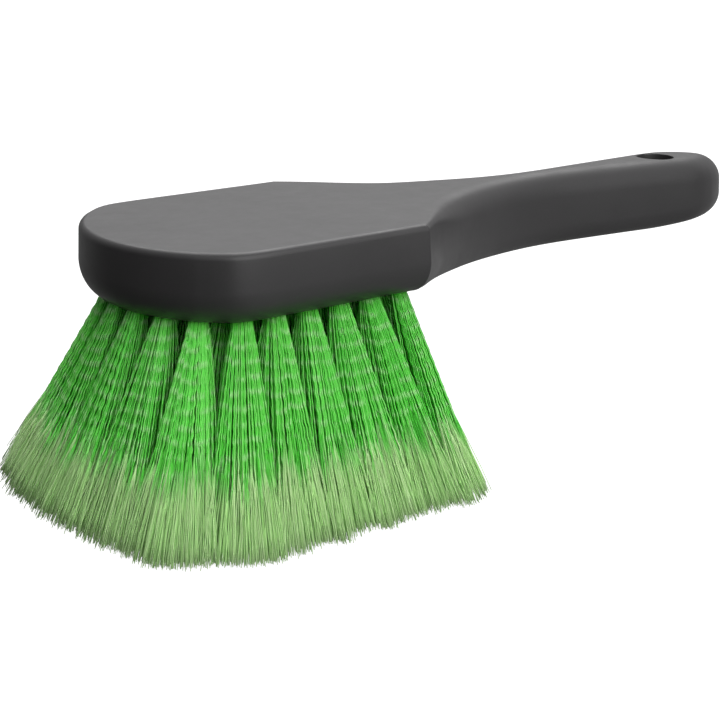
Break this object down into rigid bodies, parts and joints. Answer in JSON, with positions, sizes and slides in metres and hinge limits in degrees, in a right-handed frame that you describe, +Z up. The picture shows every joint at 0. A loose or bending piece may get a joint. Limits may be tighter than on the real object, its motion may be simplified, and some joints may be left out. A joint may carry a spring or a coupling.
{
  "type": "wheel brush",
  "caption": "Short-handled wheel brush: a moulded plastic block with an integral handle and hang hole, and fanned green filament tufts with pale flagged tips.",
  "frame": {"origin": "on the plane of the bristle tips, under the middle of the whole brush's box", "axes": "+X from the head along the handle, +Y across the head, +Z up from the bristle tips to the block"},
  "size_m": [0.235, 0.1162, 0.0662],
  "materials": {
    "block_plastic": "moulded charcoal grey, satin",
    "filament": "crimped green synthetic filament with pale flagged tips"
  },
  "bodies": {
    "root": {"block_with_handle": "block_plastic", "tuft_nose_1": "filament", "tuft_nose_2": "filament", "tuft_nose_3": "filament", "tuft_nose_4": "filament", "tuft_nose_5": "filament", "tuft_nose_6": "filament", "tuft_row1_1": "filament", "tuft_row1_2": "filament", "tuft_row1_3": "filament", "tuft_row1_4": "filament", "tuft_row1_5": "filament", "tuft_row1_6": "filament", "tuft_row2_1": "filament", "tuft_row2_2": "filament", "tuft_row2_3": "filament", "tuft_row2_4": "filament", "tuft_row2_5": "filament", "tuft_row2_6": "filament", "tuft_row3_1": "filament", "tuft_row3_2": "filament", "tuft_row3_3": "filament", "tuft_row3_4": "filament", "tuft_row3_5": "filament", "tuft_row3_6": "filament", "tuft_row4_1": "filament", "tuft_row4_2": "filament", "tuft_row4_3": "filament", "tuft_row4_4": "filament", "tuft_row4_5": "filament", "tuft_row4_6": "filament", "tuft_row5_1": "filament", "tuft_row5_2": "filament", "tuft_row5_3": "filament", "tuft_row5_4": "filament", "tuft_row5_5": "filament", "tuft_row5_6": "filament", "tuft_row6_1": "filament", "tuft_row6_2": "filament", "tuft_row6_3": "filament", "tuft_row6_4": "filament", "tuft_row6_5": "filament", "tuft_row6_6": "filament", "tuft_row7_1": "filament", "tuft_row7_2": "filament", "tuft_row7_3": "filament", "tuft_row7_4": "filament", "tuft_row7_5": "filament", "tuft_row7_6": "filament"}
  },
  "joints": []
}
